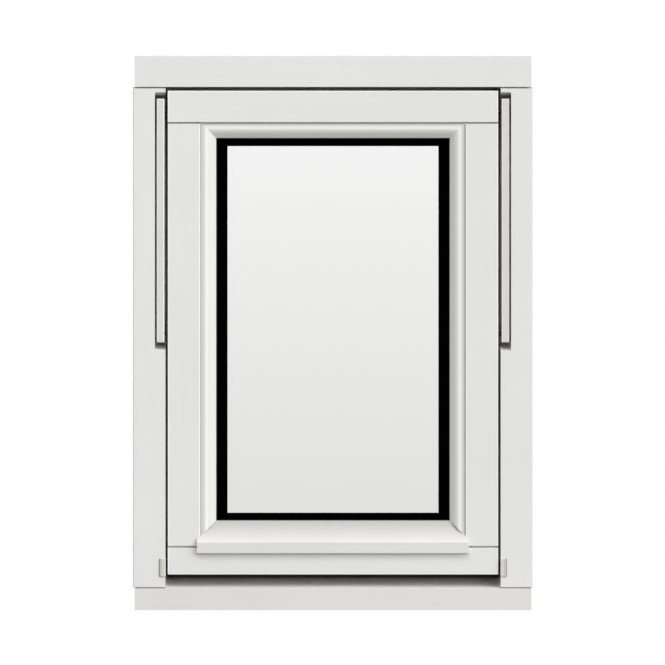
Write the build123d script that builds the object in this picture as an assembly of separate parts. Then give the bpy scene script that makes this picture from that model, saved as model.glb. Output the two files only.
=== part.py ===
from build123d import *
import math
import os

# Top swing window: a painted timber frame, and a glazed sash that hangs on two side arms.
# Millimetres. Seen from outdoors +X is right, +Y runs indoors and +Z is up.
# The origin is the middle of the sill's underside.

# Frame
frame_width = 500.0
frame_height = 693.0
frame_depth = 105.0
jamb_face = 40.5
head_face = 39.1
sill_nose = 26.9
sill_slope = 13.5
end_step = 2.0
stop_lap = 10.5
outer_round = 1.5
inner_round = 0.5
stop_round = 3.0
head_kerf = 1.7
foot_kerf = 1.5
kerf_depth = 10.0

# Grooves and screw holes of the frame
lining_inset = 10.0
lining_width = 13.0
lining_depth = 8.0
drip_width = 5.0
drip_depth = 6.0
drip_inset = 9.0
fixing_end = 131.5
fixing_inset = 20.5
fixing_radius = 4.0
fixing_sink_radius = 7.0
fixing_sink_depth = 8.0

# Sash
sash_thickness = 56.0
sash_setback = 2.0
side_gap = 3.0
head_gap = 4.7
sill_gap = 17.6
stile_width = 60.4
top_rail_height = 58.8
bottom_rail_height = 67.3
bottom_rail_face = 33.2
rail_bevel = 6.0
sash_round = 0.5
rail_kerf = 2.6
rail_kerf_depth = 4.5
lip_thickness = 16.0
lip_round = 8.0

# Weather gasket between the sash and the frame's stop
gasket_thickness = 4.0
gasket_width = 7.0
gasket_edge = 1.5
gasket_root_width = 3.0
gasket_root_depth = 5.0

# Double glazing
pane_thickness = 4.0
cavity = 16.0
seal_thickness = 1.5
seal_lip = 1.0
glass_cover = 12.0
spacer_side = 14.1
spacer_top = 10.1
spacer_bottom = 9.6

# Glazing beads
bead_width = 20.0
bead_edge = 3.6
land_width = 10.5
land_sink = 1.6
land_fall = 1.2
crest_round = 14.0
foot_mitre = 12.0
foot_drop = 19.6
cove_sag = 1.6
nose_reach = 5.0
nose_height = 13.6
nose_drop = 6.9
nose_ear = 4.0
nose_round = 0.8
bead_drip = 3.0

# Swing arms in the jambs' recesses
arm_length = 305.0
arm_drop = 14.5
arm_thickness = 9.4
arm_depth = 26.0
arm_setback = 2.0
arm_inset = 1.4
arm_corner = 1.5
arm_arris = 0.7
recess_width = 13.2
recess_depth = 31.0
recess_mouth = 8.0
recess_tail = 10.5
recess_floor = 1.5
recess_corner = 2.0
recess_run_out = 5.0

# Pivots of the arms
pivot_inset = 14.5
pin_radius = 5.0
pin_stub = 17.0
pin_clearance = 0.1
collar_radius = 7.0

# Slide tracks in the jambs, and the shoes that guide the sash's top corners
track_width = 14.0
track_depth = 8.0
track_wall = 1.5
track_inset = 38.5
shoe_length = 45.0
shoe_drop = 30.0
shoe_depth = 5.0
shoe_clearance = 0.2
shoe_pin_radius = 4.0
shoe_stub = 14.0

# Guide blocks at the foot of the jambs
guide_width = 7.5
guide_gap = 0.5
guide_height = 23.0
guide_depth = 36.0
guide_lift = 14.6
guide_proud = 1.5
guide_lap = 0.3
guide_corner = 1.5
guide_bevel = 0.8

# Espagnolette handle on the bottom rail, indoors
rose_length = 66.0
rose_height = 28.0
rose_thickness = 9.0
rose_bevel = 2.0
lever_length = 112.0
lever_reach = 36.0
lever_height = 18.0
lever_thickness = 12.0
lever_corner = 4.5
lever_bend = 13.0
lever_tip_bevel = 2.0

# Depths, from the outdoor face to the indoor face
front = -frame_depth / 2
back = frame_depth / 2
sash_front = front + sash_setback
sash_back = sash_front + sash_thickness
stop_face = sash_back + gasket_thickness
lip_face = sash_back - lip_thickness
glass_back = lip_face - seal_thickness
glass_front = glass_back - 2 * pane_thickness - cavity
bead_back = glass_front - seal_thickness

# Widths, from the jamb's outer side to the glass
jamb_x = frame_width / 2
rebate_x = jamb_x - jamb_face
sash_x = rebate_x - side_gap
stop_x = sash_x - stop_lap
sight_x = sash_x - stile_width
bead_x = sight_x + bead_width
glass_x = sight_x + glass_cover

# Heights, from the head down to the sill
head_z = frame_height - head_face
sash_top = head_z - head_gap
stop_top = sash_top - stop_lap
sight_top = sash_top - top_rail_height
bead_top = sight_top + bead_width
sash_bottom = sill_nose + sill_gap
sash_heel = sash_bottom + sash_thickness * math.tan(math.radians(rail_bevel))
sill_stop = sash_heel + stop_lap
sill_pitch = math.tan(math.radians(sill_slope))
sill_shoulder = sill_nose + (stop_face - front) * sill_pitch
sight_bottom = sash_bottom + bottom_rail_height
rebate_floor = sight_bottom - bead_width
bead_seat = sash_bottom + bottom_rail_face

# Places of the swing arms, tracks and handle
arm_top = head_z - arm_drop
arm_bottom = arm_top - arm_length
arm_front = front + arm_setback
arm_near = rebate_x + arm_inset
arm_far = arm_near + arm_thickness
recess_x = rebate_x + recess_width
pivot_y = arm_front + arm_depth / 2
frame_pivot_z = arm_top - pivot_inset
sash_pivot_z = arm_bottom + pivot_inset
track_y = front + track_inset
shoe_y = track_y + track_width / 2
shoe_z = sash_top - shoe_drop
guide_low = sill_nose + guide_lift
handle_z = (sill_stop + sight_bottom) / 2

OVERCUT = 1.0


def outline(*corners):
    """A closed face from corners given as (u, v, radius)."""
    points = [(u, v) for u, v, _ in corners]
    radii = [radius for _, _, radius in corners]
    return make_face(FilletPolyline(*points, radius=radii, close=True))


def along_x(face, x0, x1):
    """A face drawn as (Y, Z), run from x0 to x1."""
    return extrude(Plane.YZ.offset(x0) * face, x1 - x0, dir=(1, 0, 0))


def along_y(face, y0, y1):
    """A face drawn as (X, Z), run from y0 to y1."""
    return extrude(Plane.XZ.offset(-y0) * face, y1 - y0, dir=(0, 1, 0))


def along_z(face, z0, z1):
    """A face drawn as (X, Y), run from z0 to z1."""
    return extrude(Plane.XY.offset(z0) * face, z1 - z0, dir=(0, 0, 1))


def block(x0, x1, y0, y1, z0, z1):
    middle = Pos((x0 + x1) / 2, (y0 + y1) / 2, (z0 + z1) / 2)
    return middle * Box(x1 - x0, y1 - y0, z1 - z0)


def ring(outer, inner, y0, y1):
    """A rectangular ring round the glass; outer and inner are (half width, low, high)."""
    solid = block(-outer[0], outer[0], y0, y1, outer[1], outer[2])
    return solid - block(-inner[0], inner[0], y0 - OVERCUT, y1 + OVERCUT, inner[1], inner[2])


def inset(rectangle, by):
    half, low, high = rectangle
    return half - by, low + by, high - by


def disc(x0, x1, radius, y, z):
    """A round pin or washer with its axis along X."""
    return Pos((x0 + x1) / 2, y, z) * Rot(0, 90, 0) * Cylinder(radius, x1 - x0)


def left_of(right):
    """The mirrored piece for the other side of the window."""
    return mirror(right, about=Plane.YZ)


# Weather gasket: a rectangular bulb with a root that is pressed into the frame's stop
gasket_outer = inset((sash_x, sash_heel, sash_top), gasket_edge)
gasket_inner = inset(gasket_outer, gasket_width)
root_outer = inset(gasket_outer, (gasket_width - gasket_root_width) / 2)
root_inner = inset(root_outer, gasket_root_width)


def gasket_root():
    return ring(root_outer, root_inner, stop_face, stop_face + gasket_root_depth)


def weather_gasket():
    return ring(gasket_outer, gasket_inner, sash_back, stop_face) + gasket_root()


def lining_groove():
    """The groove round the frame's indoor face that takes the wall lining."""
    outer = inset((jamb_x, 0, frame_height), lining_inset)
    return ring(outer, inset(outer, lining_width), back - lining_depth, back + OVERCUT)


# Frame
def head_section(grow=0.0, soft=1.0):
    """The head's section; grown and with sharp corners it copes the jambs."""
    return outline(
        (front - grow, frame_height + grow, soft * inner_round),
        (back + grow, frame_height + grow, 0),
        (back + grow, stop_top, soft * stop_round),
        (stop_face, stop_top, soft * sash_round),
        (stop_face, head_z, 0),
        (front - grow, head_z, soft * inner_round),
    )


def sill_section(grow=0.0, soft=1.0):
    """The sill's section; grown and with sharp corners it copes the jambs."""
    return outline(
        (front - grow, -grow, 0),
        (front - grow, sill_nose - grow * sill_pitch, soft * inner_round),
        (stop_face, sill_shoulder, 0),
        (stop_face, sill_stop, soft * sash_round),
        (back + grow, sill_stop, soft * stop_round),
        (back + grow, -grow, 0),
    )


def frame_head():
    half = jamb_x - end_step
    return along_x(head_section(), -half, half) - gasket_root() - lining_groove()


def frame_sill():
    half = jamb_x - end_step
    drip_y = front + drip_inset
    drip = block(-jamb_x, jamb_x, drip_y, drip_y + drip_width, -OVERCUT, drip_depth)
    sill = along_x(sill_section(), -half, half)
    return sill - drip - gasket_root() - lining_groove()


def arm_recess():
    """The pocket that the swing arm lies in, with sloped run-outs at its two ends."""
    floor = front + recess_depth
    low, high = arm_bottom - recess_tail, arm_top + recess_mouth
    side_view = outline(
        (front - OVERCUT, low, 0),
        (front, low, 0),
        (floor, arm_bottom - recess_floor, recess_run_out),
        (floor, arm_top + recess_floor, recess_run_out),
        (front, high, 0),
        (front - OVERCUT, high, 0),
    )
    front_view = outline(
        (sash_x, low, 0),
        (recess_x, low, recess_corner),
        (recess_x, high, recess_corner),
        (sash_x, high, 0),
    )
    return along_x(side_view, sash_x, recess_x) & along_y(front_view, front - OVERCUT, floor + OVERCUT)


def guide_outline(near, far):
    high = guide_low + guide_height
    return outline(
        (near, guide_low, 0),
        (far, guide_low, guide_corner),
        (far, high, guide_corner),
        (near, high, 0),
    )


def fixing_holes():
    """Two sunk screw holes through the stop of the right jamb."""
    holes = []
    for z in (fixing_end, frame_height - fixing_end):
        y = back - fixing_inset
        holes.append(disc(stop_x - OVERCUT, jamb_x + OVERCUT, fixing_radius, y, z))
        holes.append(disc(stop_x - OVERCUT, stop_x + fixing_sink_depth, fixing_sink_radius, y, z))
    return holes


def right_jamb():
    section = outline(
        (jamb_x, front, outer_round),
        (jamb_x, back, 0),
        (stop_x, back, stop_round),
        (stop_x, stop_face, sash_round),
        (rebate_x, stop_face, 0),
        (rebate_x, front, inner_round),
    )
    beyond = jamb_x + OVERCUT
    kerf_back = front + kerf_depth
    guide_notch = guide_outline(stop_x, rebate_x + guide_width + guide_gap)
    jamb = along_z(section, 0, frame_height)
    jamb -= along_x(head_section(OVERCUT, 0), -beyond, beyond)
    jamb -= along_x(sill_section(OVERCUT, 0), -beyond, beyond)
    jamb -= block(0, beyond, front - OVERCUT, kerf_back, head_z - head_kerf, head_z)
    jamb -= block(0, beyond, front - OVERCUT, kerf_back, 0, sill_nose + foot_kerf)
    jamb -= arm_recess()
    jamb -= disc(recess_x - OVERCUT, recess_x + pin_stub, pin_radius + pin_clearance, pivot_y, frame_pivot_z)
    jamb -= block(stop_x, rebate_x + track_depth, track_y, track_y + track_width, sash_bottom, sash_top)
    jamb -= along_y(guide_notch, front - OVERCUT, front + guide_depth)
    for hole in fixing_holes():
        jamb -= hole
    return jamb - gasket_root() - lining_groove()


# Sash
def top_rail_section(grow=0.0, soft=1.0):
    """The top rail's section; grown and with sharp arrises it copes the stiles."""
    return outline(
        (sash_front - grow, sash_top + grow, soft * sash_round),
        (sash_back, sash_top + grow, 0),
        (sash_back, sight_top, lip_round),
        (lip_face, sight_top, 0),
        (lip_face, bead_top, 0),
        (sash_front - grow, bead_top, soft * sash_round),
    )


def bottom_rail_section(grow=0.0, soft=1.0):
    """The bottom rail's section; grown and with sharp arrises it copes the stiles."""
    return outline(
        (sash_front - grow, sash_bottom - grow, soft * sash_round),
        (sash_back, sash_heel - grow, 0),
        (sash_back, sight_bottom, lip_round),
        (lip_face, sight_bottom, 0),
        (lip_face, rebate_floor, 0),
        (bead_back, rebate_floor, 0),
        (bead_back, bead_seat, 0),
        (sash_front - grow, bead_seat, soft * sash_round),
    )


def sash_top_rail():
    rail = along_x(top_rail_section(), -sash_x, sash_x)
    shoe_hole = disc(sash_x - shoe_stub, sash_x + OVERCUT, shoe_pin_radius + pin_clearance, shoe_y, shoe_z)
    return rail - shoe_hole - left_of(shoe_hole)


def sash_bottom_rail():
    drip_y = sash_front + drip_inset
    drip = block(-sash_x, sash_x, drip_y, drip_y + drip_width, 0, sash_bottom + drip_depth)
    return along_x(bottom_rail_section(), -sash_x, sash_x) - drip


def right_stile():
    section = outline(
        (sash_x, sash_front, sash_round),
        (sash_x, sash_back, 0),
        (sight_x, sash_back, lip_round),
        (sight_x, lip_face, 0),
        (bead_x, lip_face, 0),
        (bead_x, sash_front, sash_round),
    )
    beyond = sash_x + OVERCUT
    kerf_back = sash_front + rail_kerf_depth
    stile = along_z(section, bead_seat - bottom_rail_face, sash_top)
    stile -= along_x(top_rail_section(OVERCUT, 0), -beyond, beyond)
    stile -= along_x(bottom_rail_section(OVERCUT, 0), -beyond, beyond)
    stile -= block(0, beyond, sash_front - OVERCUT, sash_back + OVERCUT, 0, bead_seat)
    stile -= block(0, beyond, sash_front - OVERCUT, kerf_back, bead_top - rail_kerf, bead_top + OVERCUT)
    stile -= block(0, beyond, sash_front - OVERCUT, kerf_back, 0, bead_seat + rail_kerf)
    stile -= disc(sash_x - pin_stub, beyond, pin_radius + pin_clearance, pivot_y, sash_pivot_z)
    return stile


# Glazing beads
def bead_face(place):
    """The bead's section: a land that falls towards the sash, a round crest and a slope to the glass.

    The section is drawn as (distance from the sash, height over the bead's back), and place maps
    those to the drawing.
    """
    land = bead_back - sash_front - land_sink
    corners = (
        (0, 0, 0),
        (0, land - land_fall, 0),
        (land_width, land, crest_round),
        (bead_width, bead_edge, 0),
        (bead_width, 0, 0),
    )
    return outline(*[(*place(u, h), radius) for u, h, radius in corners])


def bead_foot():
    """The joint of a side bead with the bottom bead: a mitre from the glass, then down to the stile."""
    return (
        (sight_x, sight_bottom, 0),
        (sight_x + foot_mitre, sight_bottom - foot_mitre, 0),
        (bead_x, sight_bottom - foot_drop, 0),
    )


def glazing_bead_top():
    bead = along_x(bead_face(lambda u, h: (bead_back - h, bead_top - u)), -bead_x, bead_x)
    mitres = outline(
        (-bead_x, bead_top, 0), (-sight_x, sight_top, 0), (sight_x, sight_top, 0), (bead_x, bead_top, 0)
    )
    return bead & along_y(mitres, sash_front, bead_back)


def right_bead():
    bead = along_z(bead_face(lambda u, h: (bead_x - u, bead_back - h)), bead_seat, bead_top)
    mitres = outline((bead_x, bead_top, 0), (sight_x, sight_top, 0), *bead_foot())
    return bead & along_y(mitres, sash_front, bead_back)


def glazing_bead_bottom():
    """The sloping bead under the glass: a cove, and a nose with a drip that laps the stiles."""
    nose_front = sash_front - nose_reach
    nose_low = bead_seat - nose_drop
    nose_top = nose_low + nose_height
    shoulder = (bead_back - bead_edge, sight_bottom)
    cove = SagittaArc((nose_front, nose_top), shoulder, -cove_sag)
    sides = Polyline(
        shoulder,
        (bead_back, sight_bottom),
        (bead_back, bead_seat),
        (sash_front, bead_seat),
        (sash_front, nose_low),
        (nose_front, nose_low),
        (nose_front, nose_top),
    )
    section = make_face(cove.edges() + sides.edges())
    section = fillet(section.vertices().sort_by(Axis.X)[:2], nose_round)
    drip_y = (nose_front + sash_front) / 2
    drip = block(-sash_x, sash_x, drip_y - bead_drip / 2, drip_y + bead_drip / 2, 0, nose_low + bead_drip)
    ears = bead_x + nose_ear
    nose = along_x(section, -ears, ears)
    nose &= block(-ears, ears, nose_front - OVERCUT, sash_front, nose_low, sight_bottom)
    seat = outline(*bead_foot(), (bead_x, sight_top, 0), (sight_x, sight_top, 0))
    side_bead = along_y(seat, nose_front, bead_back)
    return along_x(section, -bead_x, bead_x) + nose - drip - side_bead - left_of(side_bead)


# Glazing
glass = (glass_x, sight_bottom - glass_cover, sight_top + glass_cover)
sight = (sight_x, sight_bottom, sight_top)


def pane(y0):
    half, low, high = glass
    return block(-half, half, y0, y0 + pane_thickness, low, high)


def edge_spacer():
    clear = (sight_x - spacer_side, sight_bottom + spacer_bottom, sight_top - spacer_top)
    y0 = glass_front + pane_thickness
    return ring(glass, clear, y0, y0 + cavity)


def glazing_seal(y0):
    return ring(glass, inset(sight, seal_lip), y0, y0 + seal_thickness)


# Swing gear
def right_arm():
    side_view = outline(
        (arm_front, arm_bottom, arm_corner),
        (arm_front, arm_top, arm_corner),
        (arm_front + arm_depth, arm_top, arm_corner),
        (arm_front + arm_depth, arm_bottom, arm_corner),
    )
    arm = along_x(side_view, arm_near, arm_far)
    rims = arm.faces().filter_by(Axis.X).edges()
    arm = chamfer(rims, arm_arris)
    for z in (frame_pivot_z, sash_pivot_z):
        arm -= disc(arm_near - OVERCUT, arm_far + OVERCUT, pin_radius + pin_clearance, pivot_y, z)
    return arm


def hex_collar(x0, x1, y, z):
    """The collar of a pivot stud, with flats for a spanner."""
    return along_x(Pos(y, z) * RegularPolygon(collar_radius, 6), x0, x1)


def right_frame_pivot():
    z = frame_pivot_z
    pin = disc(arm_near, recess_x + pin_stub, pin_radius, pivot_y, z)
    return pin + hex_collar(arm_far, recess_x, pivot_y, z)


def right_sash_pivot():
    z = sash_pivot_z
    pin = disc(sash_x - pin_stub, arm_far, pin_radius, pivot_y, z)
    return pin + hex_collar(sash_x, arm_near, pivot_y, z)


def right_slide_track():
    far, y1 = rebate_x + track_depth, track_y + track_width
    channel = block(rebate_x, far, track_y, y1, sash_bottom, sash_top)
    bed = block(stop_x, far - track_wall, track_y + track_wall, y1 - track_wall, 0, frame_height)
    return channel - bed


def right_slide_shoe():
    """A block in the track, with the pin that carries the sash's top corner."""
    far = rebate_x + track_depth - track_wall - shoe_clearance
    half = track_width / 2 - track_wall - shoe_clearance
    low, high = shoe_z - shoe_length / 2, shoe_z + shoe_length / 2
    shoe = block(far - shoe_depth, far, shoe_y - half, shoe_y + half, low, high)
    return shoe + disc(sash_x - shoe_stub, far - shoe_depth, shoe_pin_radius, shoe_y, shoe_z)


def right_guide_block():
    face = guide_outline(rebate_x - guide_lap, rebate_x + guide_width)
    guide = along_y(face, front - guide_proud, front + guide_depth)
    return chamfer(guide.faces().sort_by(Axis.Y)[0].edges(), guide_bevel)


# Handle
def handle_rose():
    face = Pos(0, handle_z) * SlotOverall(rose_length, rose_height)
    plate = along_y(face, sash_back, sash_back + rose_thickness)
    return chamfer(plate.faces().sort_by(Axis.Y)[-1].edges(), rose_bevel)


def handle_lever():
    """A bar that stands out of the rose and bends sideways into the grip."""
    start = sash_back + rose_thickness
    grip_y = start + lever_reach
    path = FilletPolyline((0, start), (0, grip_y), (lever_length, grip_y), radius=lever_bend)
    section = RectangleRounded(lever_thickness, lever_height, lever_corner)
    base = Plane((0, start, 0), x_dir=(1, 0, 0), z_dir=(0, 1, 0))
    lever = sweep(base * section, path=path)
    lever = chamfer(lever.faces().sort_by(Axis.X)[-1].edges(), lever_tip_bevel)
    return Pos(0, 0, handle_z) * lever


def pieces():
    """Every piece of the window by its name, left and right as seen from outdoors."""
    made = {
        "frame_head": frame_head(),
        "frame_sill": frame_sill(),
        "sash_top_rail": sash_top_rail(),
        "sash_bottom_rail": sash_bottom_rail(),
        "glazing_bead_top": glazing_bead_top(),
        "glazing_bead_bottom": glazing_bead_bottom(),
        "outer_pane": pane(glass_front),
        "inner_pane": pane(glass_back - pane_thickness),
        "edge_spacer": edge_spacer(),
        "outer_glazing_seal": glazing_seal(bead_back),
        "inner_glazing_seal": glazing_seal(glass_back),
        "weather_gasket": weather_gasket(),
        "handle_rose": handle_rose(),
        "handle_lever": handle_lever(),
    }
    pairs = {
        "frame_jamb": right_jamb,
        "sash_stile": right_stile,
        "glazing_bead": right_bead,
        "swing_arm": right_arm,
        "frame_pivot": right_frame_pivot,
        "sash_pivot": right_sash_pivot,
        "slide_track": right_slide_track,
        "slide_shoe": right_slide_shoe,
        "guide_block": right_guide_block,
    }
    for name, build in pairs.items():
        made[name + "_right"] = build()
        made[name + "_left"] = left_of(made[name + "_right"])
    return made


os.makedirs("parts", exist_ok=True)
for name, piece in pieces().items():
    export_step(piece, f"parts/{name}.step")
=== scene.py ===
import math

import bmesh
import bpy
from mathutils import Matrix, Vector


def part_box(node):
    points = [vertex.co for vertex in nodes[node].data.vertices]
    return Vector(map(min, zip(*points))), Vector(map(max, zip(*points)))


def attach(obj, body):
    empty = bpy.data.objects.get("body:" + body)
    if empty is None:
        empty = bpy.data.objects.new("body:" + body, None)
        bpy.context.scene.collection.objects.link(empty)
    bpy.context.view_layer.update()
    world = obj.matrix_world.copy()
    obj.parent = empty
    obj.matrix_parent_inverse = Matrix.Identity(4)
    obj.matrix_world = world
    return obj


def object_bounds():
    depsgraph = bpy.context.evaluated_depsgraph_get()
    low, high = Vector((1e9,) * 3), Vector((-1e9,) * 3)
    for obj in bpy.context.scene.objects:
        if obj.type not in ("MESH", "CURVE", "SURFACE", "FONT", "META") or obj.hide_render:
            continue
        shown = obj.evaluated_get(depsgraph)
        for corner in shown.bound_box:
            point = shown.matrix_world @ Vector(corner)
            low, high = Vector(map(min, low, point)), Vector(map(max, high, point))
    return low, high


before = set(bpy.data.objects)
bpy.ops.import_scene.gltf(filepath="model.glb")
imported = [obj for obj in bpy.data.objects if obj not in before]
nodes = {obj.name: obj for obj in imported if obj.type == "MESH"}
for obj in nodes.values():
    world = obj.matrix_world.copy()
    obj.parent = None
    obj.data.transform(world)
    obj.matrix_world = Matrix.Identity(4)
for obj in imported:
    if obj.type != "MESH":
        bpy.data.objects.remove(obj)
cad_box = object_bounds()
scene = bpy.context.scene
scene.view_settings.view_transform = "Standard"

# Colours, written as they look on screen, from 0 to 255
PAINT = (226, 226, 224)
SILL_PAINT = (221, 220, 216)
BEAD_PAINT = (226, 226, 221)
ARM_COAT = (214, 213, 209)
PIVOT_COAT = (66, 66, 66)
GUIDE_PLASTIC = (207, 207, 199)
SHOE_NYLON = (52, 52, 53)
TRACK_ALUMINIUM = (186, 186, 184)
HANDLE_STEEL = (172, 171, 168)
RUBBER_TONES = (14, 14, 14), (24, 24, 25)
SPACER_TONES = (0, 0, 0), (3, 3, 3)
GLASS_TONES = (247, 247, 246), (252, 252, 252)
FLOOR_TONES = (250, 250, 250), (253, 253, 253)
WHITE = (1, 1, 1, 1)

# Changes of tone that paint shade (darker) and highlights (lighter) onto the finish
ARRIS_HIGHLIGHT = 28
ARM_ARRIS_HIGHLIGHT = 38
CREST_HIGHLIGHT = 14
CORNER_SHADE = -26
TOP_BEAD_SHADE = -12
SIDE_BEAD_SHADE = -8
FOOT_BEAD_SHADE = -34
SILL_SHADE = -150
JOINT_SHADE = -26
TOP_GROOVE_SHADE = -66
LEFT_GROOVE_SHADE = -62
GUIDE_EDGE_SHADE = -26

# Where those places are, in metres
ARRIS_WIDTH = 0.0013
BEAD_WIDTH = 0.020
BEAD_CREST = 0.012
CREST_BLEND = 0.0005, 0.003
BEAD_SHADE_REACH = 0.012
FOOT_SHADE_REACH = 0.026
TOP_GROOVE = BEAD_WIDTH - 0.0021
TOP_GROOVE_BLEND = 0.0005, 0.0011
LEFT_GROOVE_BLEND = BEAD_WIDTH - 0.0018, BEAD_WIDTH - 0.0006
JOINT_DEPTH = 0.006
JOINT_WIDTH = 0.003
GASKET_THICKNESS = 0.004
STOP_MARGIN = 0.0005
SILL_NOSE = 0.0275
SILL_SHADE_REACH = 0.015
GUIDE_EDGE_BLEND = 0.004, 0.001

# Screws of the handle: rings of radius, height and lobe depth, lengths in millimetres
ROSE_SCREW = (
    (4.0, -0.1, 0),
    (4.0, 0.25, 0),
    (3.6, 0.75, 0),
    (2.7, 1.15, 0),
    (1.75, 1.3, 0.13),
    (1.6, 0.2, 0.13),
)
GRUB_SCREW = (
    (2.4, -0.1, 0),
    (2.4, 0.12, 0),
    (2.1, 0.2, 0),
    (1.3, 0.2, 0.06),
    (1.25, 0.03, 0.06),
)
MILLIMETRE = 0.001
TURN_STEPS = 48
SCREW_LOBES = 6
SHARP_ANGLE = math.radians(35)
ROSE_SCREW_REACH = 0.024
GRUB_SCREW_BACK = 0.010

# Light and camera
AMBIENT = 0.52
FLOOR_RETURN = 0.355
FLOOR_GLOW = 0.9
FLOOR_RADIUS = 4.0
FLOOR_STEPS = 96
FLOOR_DROP = 0.0005
VIEW_WIDTH = 0.83125
VIEW_CENTRE = -0.0006, 0.347
CAMERA_DISTANCE = 25.0
CAMERA_REACH = 200.0
SENSOR_WIDTH = 36.0


def tone(r, g, b):
    """A screen colour as linear light."""
    def linear(c):
        c /= 255.0
        return c / 12.92 if c <= 0.04045 else ((c + 0.055) / 1.055) ** 2.4

    return linear(r), linear(g), linear(b), 1.0


def shade(colour, by):
    """A screen colour made lighter or darker, as linear light."""
    return tone(*[max(0, min(255, c + by)) for c in colour])


def even(scale):
    return scale, scale, scale


class Graph:
    """The node tree of a material or a world, with short calls to add and join nodes."""

    def __init__(self, owner, output="ShaderNodeOutputMaterial"):
        owner.use_nodes = True
        self.owner = owner
        self.tree = owner.node_tree
        self.tree.nodes.clear()
        self.output = self.add(output)

    def put(self, value, socket):
        """Links a socket's value, or sets a constant."""
        if isinstance(value, bpy.types.NodeSocket):
            self.tree.links.new(value, socket)
        else:
            socket.default_value = value

    def add(self, kind, **inputs):
        """A node, with its inputs named by words joined with underscores."""
        node = self.tree.nodes.new(kind)
        for key, value in inputs.items():
            self.put(value, node.inputs[key.replace("_", " ")])
        return node

    def math(self, operation, *values):
        node = self.add("ShaderNodeMath")
        node.operation = operation
        for value, socket in zip(values, node.inputs):
            self.put(value, socket)
        return node.outputs[0]

    def product(self, first, *others):
        for other in others:
            first = self.math("MULTIPLY", first, other)
        return first

    def axes(self):
        """The three object coordinates."""
        coords = self.add("ShaderNodeTexCoord")
        return self.add("ShaderNodeSeparateXYZ", Vector=coords.outputs["Object"]).outputs

    def noise(self, scale, detail, roughness=0.55):
        """Noise over the object, with a scale along each axis."""
        coords = self.add("ShaderNodeTexCoord")
        placed = self.add("ShaderNodeMapping", Vector=coords.outputs["Object"], Scale=scale)
        place = placed.outputs["Vector"]
        return self.add(
            "ShaderNodeTexNoise", Vector=place, Scale=1.0, Detail=detail, Roughness=roughness
        ).outputs["Fac"]

    def spread(self, value, low, high, start=0.3, end=0.7):
        """Maps a value between start and end onto a range. The usual start and end suit noise."""
        return self.add(
            "ShaderNodeMapRange", Value=value, From_Min=start, From_Max=end, To_Min=low, To_Max=high
        ).outputs["Result"]

    def tint(self, value, dark, light):
        """A colour between two, by a value from 0 to 1."""
        ramp = self.add("ShaderNodeValToRGB", Fac=value)
        ramp.color_ramp.elements[0].color = dark
        ramp.color_ramp.elements[1].color = light
        return ramp.outputs["Color"]

    def blend(self, share, first, second):
        """A colour that goes from the first to the second as the share goes from 0 to 1."""
        return self.add("ShaderNodeMixRGB", Fac=share, Color1=first, Color2=second).outputs[0]

    def mix(self, share, first, second):
        """A shader that goes from the first to the second as the share goes from 0 to 1."""
        node = self.add("ShaderNodeMixShader", Fac=share)
        self.put(first.outputs[0], node.inputs[1])
        self.put(second.outputs[0], node.inputs[2])
        return node

    def bump(self, height, strength, distance, **below):
        """A normal raised by a height, over another bump's normal if there is one."""
        return self.add(
            "ShaderNodeBump", Height=height, Strength=strength, Distance=distance, **below
        ).outputs["Normal"]

    def surface(self, shader):
        self.put(shader.outputs[0], self.output.inputs["Surface"])
        return self.owner


def material_graph(name):
    return Graph(bpy.data.materials.new(name))


# Places on the window that take a change of tone. Each mask goes from 0 to 1.
foot_box, rail_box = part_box("sash_bottom_rail"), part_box("sash_top_rail")
bead_box, arm_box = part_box("glazing_bead_right"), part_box("swing_arm_right")
sash_half, sash_face = rail_box[1].x, rail_box[0].y
bead_half, bead_head = bead_box[1].x, bead_box[1].z


def from_glass(g):
    """The distance from the edge of the glass opening, over the beads."""
    top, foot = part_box("glazing_bead_top")[0].z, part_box("glazing_bead_bottom")[1].z
    x, _, z = g.axes()
    across = g.math("SUBTRACT", g.math("ABSOLUTE", x), bead_box[0].x)
    height = g.math("SUBTRACT", z, (top + foot) / 2)
    upright = g.math("SUBTRACT", g.math("ABSOLUTE", height), (top - foot) / 2)
    return g.math("MAXIMUM", across, upright)


def near_glass(reach):
    """1 at the edge of the glass opening, falling to 0 at a distance from it."""
    return lambda g: g.spread(from_glass(g), 1.0, 0.0, 0.0, reach)


def near_sash(g):
    """1 in the corner of a bead and the sash, falling to 0 at the bead's crest."""
    return g.spread(from_glass(g), 0.0, 1.0, BEAD_CREST, BEAD_WIDTH)


def bead_line(place, limits):
    """1 on a line at a distance from the glass, falling to 0 on both sides."""
    def mask(g):
        off = g.math("ABSOLUTE", g.math("SUBTRACT", from_glass(g), place))
        return g.spread(off, 1.0, 0.0, *limits)

    return mask


def left_groove(g):
    """1 along the left bead's outer edge, in the groove beside the stile."""
    edge = g.spread(from_glass(g), 0.0, 1.0, *LEFT_GROOVE_BLEND)
    return g.product(edge, g.math("LESS_THAN", g.axes()[0], 0.0))


def in_top_joint(g):
    """1 on the floor of the shadow joint under the top rail."""
    _, y, z = g.axes()
    under_arris = g.math("GREATER_THAN", y, sash_face + ARRIS_WIDTH)
    over_floor = g.math("LESS_THAN", y, sash_face + JOINT_DEPTH)
    beside_rail = g.math("GREATER_THAN", z, bead_head - JOINT_WIDTH)
    return g.product(under_arris, over_floor, beside_rail)


def on_arrises(front, sides, levels=()):
    """1 along the front arrises at the given half widths and heights."""
    def mask(g):
        x, y, z = g.axes()
        half = g.math("ABSOLUTE", x)
        away = [g.math("ABSOLUTE", g.math("SUBTRACT", half, side)) for side in sides]
        away += [g.math("ABSOLUTE", g.math("SUBTRACT", z, level)) for level in levels]
        nearest = away[0]
        for other in away[1:]:
            nearest = g.math("MINIMUM", nearest, other)
        line = g.spread(nearest, 1.0, 0.0, ARRIS_WIDTH / 2, ARRIS_WIDTH)
        return g.product(line, g.math("LESS_THAN", y, front + ARRIS_WIDTH))

    return mask


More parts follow.
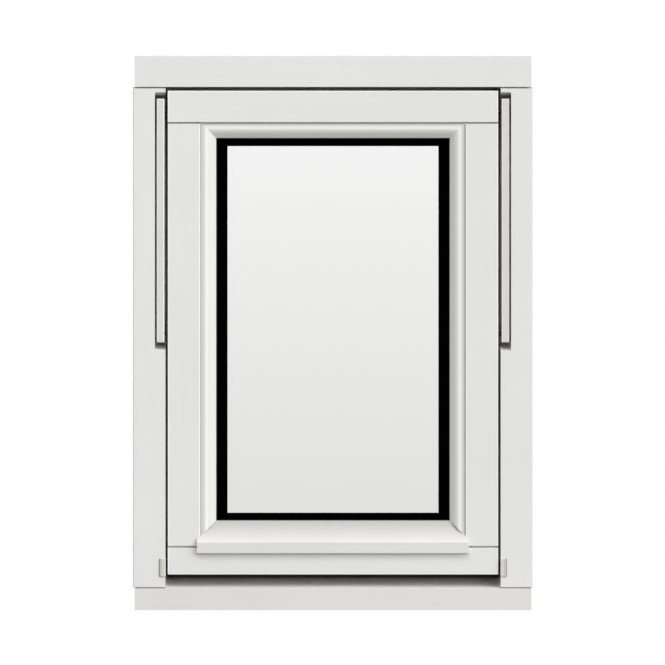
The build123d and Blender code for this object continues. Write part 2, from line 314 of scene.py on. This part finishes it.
def under_sash(g):
    """1 in the corner of the sill's slope and the stop, falling to 0 in front of it."""
    stop = foot_box[1].y + GASKET_THICKNESS
    x, y, z = g.axes()
    between_arms = g.math("LESS_THAN", g.math("ABSOLUTE", x), arm_box[0].x)
    before_stop = g.math("LESS_THAN", y, stop + STOP_MARGIN)
    on_slope = g.math("GREATER_THAN", z, SILL_NOSE)
    near_stop = g.spread(y, 0.0, 1.0, stop - SILL_SHADE_REACH, stop)
    return g.product(between_arms, before_stop, on_slope, near_stop)


def guide_edge(g):
    """1 along the outer edge of a guide block."""
    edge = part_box("guide_block_right")[1].x
    start, end = [edge - inset for inset in GUIDE_EDGE_BLEND]
    return g.spread(g.math("ABSOLUTE", g.axes()[0]), 0.0, 1.0, start, end)


def touched(g, paint, colour, touches):
    """The paint, lighter or darker by a change of tone where a mask says so."""
    for change, mask in touches:
        paint = g.blend(mask(g), paint, shade(colour, change))
    return paint


# Materials
def painted_timber(name, colour, grain, *touches):
    """Brushed and sanded white paint, with the grain just showing along the piece."""
    g = material_graph(name)
    along, across = 5.0, 150.0
    stretch = {"x": (along, across, across), "z": (across, across, along)}[grain]
    lines = g.noise(stretch, 6.0, 0.62)
    fine = g.noise(even(700), 2.0)
    patch = g.noise(even(7), 3.0)
    level = g.spread(g.math("MULTIPLY_ADD", lines, 0.45, patch), 0.0, 1.0, 0.45, 1.0)
    paint = g.tint(level, shade(colour, -3), shade(colour, 2))
    brushed = g.bump(fine, 0.05, 0.0002)
    shader = g.add(
        "ShaderNodeBsdfPrincipled",
        Base_Color=touched(g, paint, colour, touches),
        Roughness=g.spread(lines, 0.36, 0.5),
        Normal=g.bump(lines, 0.10, 0.0003, Normal=brushed),
        Specular_IOR_Level=0.35,
    )
    return g.surface(shader)


def coated_metal(name, colour, sheen, *touches):
    """Powder coat: a fine even texture."""
    g = material_graph(name)
    fine = g.noise(even(1400), 2.0)
    patch = g.noise(even(18), 2.0)
    coat = g.tint(g.spread(patch, 0.0, 1.0), shade(colour, -3), shade(colour, 2))
    shader = g.add(
        "ShaderNodeBsdfPrincipled",
        Base_Color=touched(g, coat, colour, touches),
        Roughness=g.spread(fine, 0.36, 0.5),
        Normal=g.bump(fine, 0.12, 0.0002),
        Specular_IOR_Level=sheen,
    )
    return g.surface(shader)


def moulded_plastic(name, colour, rough, *touches):
    """Plastic with a fine mould texture."""
    g = material_graph(name)
    fine = g.noise(even(900), 2.0)
    patch = g.noise(even(30), 3.0)
    plastic = g.tint(g.spread(patch, 0.0, 1.0), shade(colour, -4), shade(colour, 3))
    shader = g.add(
        "ShaderNodeBsdfPrincipled",
        Base_Color=touched(g, plastic, colour, touches),
        Roughness=g.spread(fine, rough - 0.08, rough + 0.08),
        Normal=g.bump(fine, 0.10, 0.0002),
    )
    return g.surface(shader)


def brushed_metal(name, colour, grain, rough):
    """Metal with fine brush lines along one axis."""
    g = material_graph(name)
    along, across = 8, 1500
    stretch = {"x": (along, across, across), "z": (across, across, along)}[grain]
    lines = g.noise(stretch, 3.0, 0.6)
    patch = g.noise(even(40), 3.0)
    shader = g.add(
        "ShaderNodeBsdfPrincipled",
        Base_Color=g.tint(g.spread(lines, 0.0, 1.0), shade(colour, -10), shade(colour, 6)),
        Roughness=g.spread(patch, rough - 0.06, rough + 0.1),
        Normal=g.bump(lines, 0.06, 0.0001),
        Metallic=1.0,
    )
    return g.surface(shader)


def soft_rubber(name, dark, light):
    g = material_graph(name)
    fine = g.noise(even(600), 3.0)
    shader = g.add(
        "ShaderNodeBsdfPrincipled",
        Base_Color=g.tint(g.spread(fine, 0.0, 1.0), tone(*dark), tone(*light)),
        Roughness=g.spread(fine, 0.6, 0.8),
        Normal=g.bump(fine, 0.15, 0.0002),
    )
    return g.surface(shader)


def matt_spacer(name, dark, light):
    g = material_graph(name)
    fine = g.noise(even(500), 2.0)
    shader = g.add(
        "ShaderNodeBsdfPrincipled",
        Base_Color=g.tint(g.spread(fine, 0.0, 1.0), tone(*dark), tone(*light)),
        Roughness=g.spread(fine, 0.85, 0.95),
        Specular_IOR_Level=0.02,
    )
    return g.surface(shader)


def clear_glass(name, foot, head):
    """A clear pane whose see-through colour greys a little towards the foot as a painted reflection,
    with more gloss at a slant and a faint haze.
    """
    g = material_graph(name)
    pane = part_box("outer_pane")
    level = g.spread(g.axes()[2], 0.0, 1.0, pane[0].z, pane[1].z)
    haze = g.noise(even(9), 3.0)
    through = g.add("ShaderNodeBsdfTransparent", Color=g.tint(level, tone(*foot), tone(*head)))
    gloss = g.add("ShaderNodeBsdfGlossy", Color=WHITE, Roughness=g.spread(haze, 0.01, 0.04))
    slant = g.add("ShaderNodeLayerWeight", Blend=0.5).outputs["Facing"]
    return g.surface(g.mix(g.math("POWER", slant, 5.0), through, gloss))


# Beads: painted shade in the corner beside the sash, and a painted highlight along the crest
bead_shade_and_highlight = (CORNER_SHADE, near_sash), (CREST_HIGHLIGHT, bead_line(BEAD_CREST, CREST_BLEND))
timber_x = painted_timber("white_timber_x", PAINT, "x")
timber_z = painted_timber("white_timber_z", PAINT, "z")
sill_x = painted_timber("sill_timber_x", SILL_PAINT, "x", (SILL_SHADE, under_sash))
# Painted shade in the joint under the top rail, and painted highlights along the stiles' front arrises
stile_z = painted_timber(
    "stile_timber_z", PAINT, "z",
    (JOINT_SHADE, in_top_joint),
    (ARRIS_HIGHLIGHT, on_arrises(sash_face, (bead_half, sash_half))),
)
# Painted highlights along the top rail's front arrises
top_rail_x = painted_timber(
    "top_rail_timber_x", PAINT, "x",
    (ARRIS_HIGHLIGHT, on_arrises(sash_face, (sash_half,), (bead_head, rail_box[1].z))),
)
# Painted highlights along the bottom rail's front arrises
foot_rail_x = painted_timber(
    "foot_rail_timber_x", PAINT, "x",
    (ARRIS_HIGHLIGHT, on_arrises(sash_face, (sash_half,), (foot_box[0].z,))),
)
# Top bead: painted shade near the glass and in the groove under the top rail
bead_x = painted_timber(
    "bead_timber_x", BEAD_PAINT, "x",
    (TOP_BEAD_SHADE, near_glass(BEAD_SHADE_REACH)),
    *bead_shade_and_highlight,
    (TOP_GROOVE_SHADE, bead_line(TOP_GROOVE, TOP_GROOVE_BLEND)),
)
# Side beads: painted shade near the glass and in the groove beside the left stile
bead_z = painted_timber(
    "bead_timber_z", BEAD_PAINT, "z",
    (SIDE_BEAD_SHADE, near_glass(BEAD_SHADE_REACH)),
    *bead_shade_and_highlight,
    (LEFT_GROOVE_SHADE, left_groove),
)
# Foot bead: painted shade, darker towards the glass
foot_bead = painted_timber(
    "foot_bead_timber", SILL_PAINT, "x", (FOOT_BEAD_SHADE, near_glass(FOOT_SHADE_REACH))
)
# Painted highlights along the arms' front edges
arm_coat = coated_metal(
    "white_arm_coat", ARM_COAT, 0.5,
    (ARM_ARRIS_HIGHLIGHT, on_arrises(arm_box[0].y, (arm_box[0].x, arm_box[1].x))),
)
pivot_steel = coated_metal("pivot_steel", PIVOT_COAT, 0.08)
guide_plastic = moulded_plastic("guide_plastic", GUIDE_PLASTIC, 0.5, (GUIDE_EDGE_SHADE, guide_edge))
shoe_nylon = moulded_plastic("shoe_nylon", SHOE_NYLON, 0.45)
track_aluminium = brushed_metal("track_aluminium", TRACK_ALUMINIUM, "z", 0.36)
handle_steel = brushed_metal("handle_steel", HANDLE_STEEL, "x", 0.28)
rubber = soft_rubber("black_rubber", *RUBBER_TONES)
spacer = matt_spacer("black_spacer", *SPACER_TONES)
glass = clear_glass("clear_glass", *GLASS_TONES)

finish = {
    "frame_head": timber_x,
    "frame_sill": sill_x,
    "frame_jamb": timber_z,
    "sash_top_rail": top_rail_x,
    "sash_bottom_rail": foot_rail_x,
    "sash_stile": stile_z,
    "glazing_bead_top": bead_x,
    "glazing_bead_bottom": foot_bead,
    "glazing_bead": bead_z,
    "outer_pane": glass,
    "inner_pane": glass,
    "edge_spacer": spacer,
    "outer_glazing_seal": rubber,
    "inner_glazing_seal": rubber,
    "weather_gasket": rubber,
    "swing_arm": arm_coat,
    "frame_pivot": pivot_steel,
    "sash_pivot": pivot_steel,
    "slide_track": track_aluminium,
    "slide_shoe": shoe_nylon,
    "guide_block": guide_plastic,
    "handle_rose": handle_steel,
    "handle_lever": handle_steel,
}
for name, obj in nodes.items():
    kind = name if name in finish else name.rsplit("_", 1)[0]
    obj.data.materials.clear()
    obj.data.materials.append(finish[kind])


# Screws of the handle
def turned(name, rings, centre, facing, look):
    """A turned piece: rings of radius, height and lobe depth, with the last one closed."""
    place = Matrix.Translation(centre) @ Vector(facing).to_track_quat("Z", "Y").to_matrix().to_4x4()
    bm = bmesh.new()
    loops = []
    for radius, height, lobe in rings:
        loop = []
        for i in range(TURN_STEPS):
            turn = 2 * math.pi * i / TURN_STEPS
            r = radius * (1 + lobe * math.cos(SCREW_LOBES * turn))
            point = Vector((r * math.cos(turn), r * math.sin(turn), height)) * MILLIMETRE
            loop.append(bm.verts.new(place @ point))
        loops.append(loop)
    for below, above in zip(loops, loops[1:]):
        for i in range(TURN_STEPS):
            j = (i + 1) % TURN_STEPS
            bm.faces.new((below[i], below[j], above[j], above[i]))
    bm.faces.new(loops[-1])
    mesh = bpy.data.meshes.new(name)
    bm.to_mesh(mesh)
    bm.free()
    mesh.shade_smooth()
    mesh.set_sharp_from_angle(angle=SHARP_ANGLE)
    mesh.materials.append(look)
    piece = bpy.data.objects.new(name, mesh)
    scene.collection.objects.link(piece)
    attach(piece, "root")


rose_box, lever_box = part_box("handle_rose"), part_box("handle_lever")
rose_y, rose_z = rose_box[1].y, (rose_box[0].z + rose_box[1].z) / 2
for name, reach in (("rose_screw_left", -ROSE_SCREW_REACH), ("rose_screw_right", ROSE_SCREW_REACH)):
    turned(name, ROSE_SCREW, (reach, rose_y, rose_z), (0, 1, 0), handle_steel)
grub_at = (lever_box[0].x, lever_box[0].y + GRUB_SCREW_BACK, rose_z)
turned("lever_grub_screw", GRUB_SCREW, grub_at, (-1, 0, 0), pivot_steel)


# Floor, world, lamps and camera
def in_view(g):
    """1 for what is seen straight, in a gloss or through glass, 0 for the light that falls on things."""
    path = g.add("ShaderNodeLightPath").outputs
    straight = g.math("MAXIMUM", path["Is Camera Ray"], path["Is Glossy Ray"])
    return g.math("MAXIMUM", straight, path["Is Transmission Ray"])


def floor_material(dark, light):
    """A white floor that keeps a pale shadow, and gives back less light than it shows."""
    g = material_graph("studio_floor")
    speck = g.spread(g.noise(even(60), 2.0), 0.0, 1.0)
    diffuse = g.add("ShaderNodeBsdfDiffuse", Color=g.tint(speck, tone(*dark), tone(*light)))
    glow = g.add("ShaderNodeEmission", Color=WHITE, Strength=1.0)
    dim = g.add("ShaderNodeEmission", Color=WHITE, Strength=FLOOR_RETURN)
    return g.surface(g.mix(in_view(g), dim, g.mix(FLOOR_GLOW, diffuse, glow)))


def make_floor():
    mesh = bpy.data.meshes.new("floor")
    bm = bmesh.new()
    bmesh.ops.create_circle(bm, cap_ends=True, segments=FLOOR_STEPS, radius=FLOOR_RADIUS)
    bm.to_mesh(mesh)
    bm.free()
    mesh.materials.append(floor_material(*FLOOR_TONES))
    floor = bpy.data.objects.new("floor", mesh)
    floor.location.z = -FLOOR_DROP
    scene.collection.objects.link(floor)


def make_world():
    """White to look at, with a softer light on the window."""
    world = bpy.data.worlds.new("studio")
    scene.world = world
    g = Graph(world, "ShaderNodeOutputWorld")
    soft = g.add("ShaderNodeBackground", Color=WHITE, Strength=AMBIENT)
    white = g.add("ShaderNodeBackground", Color=WHITE, Strength=1.0)
    g.surface(g.mix(in_view(g), soft, white))


def make_sun(name, towards, strength, angle):
    """A soft sun that lights the paint and leaves no glare on it."""
    data = bpy.data.lights.new(name, "SUN")
    data.energy = strength
    data.angle = angle
    lamp = bpy.data.objects.new(name, data)
    lamp.rotation_mode = "QUATERNION"
    lamp.rotation_quaternion = Vector(towards).to_track_quat("-Z", "Y")
    lamp.visible_glossy = False
    scene.collection.objects.link(lamp)


def make_camera():
    """A long lens square on to the outdoor face, framed as in the photograph."""
    data = bpy.data.cameras.new("camera")
    data.sensor_width = SENSOR_WIDTH
    data.lens = SENSOR_WIDTH * CAMERA_DISTANCE / VIEW_WIDTH
    data.clip_end = CAMERA_REACH
    camera = bpy.data.objects.new("camera", data)
    middle_x, middle_z = VIEW_CENTRE
    camera.location = (middle_x, cad_box[0].y - CAMERA_DISTANCE, middle_z)
    camera.rotation_euler = (math.pi / 2, 0, 0)
    scene.collection.objects.link(camera)
    scene.camera = camera


make_floor()
make_world()
make_sun("right_key", (-0.71, 0.59, -0.384), 2.16, 0.85)
make_sun("top_key", (0.0, 0.5, -0.866), 0.92, 0.3)
make_sun("back_fill", (0.5, -0.86, -0.12), 1.7, 0.9)
make_camera()
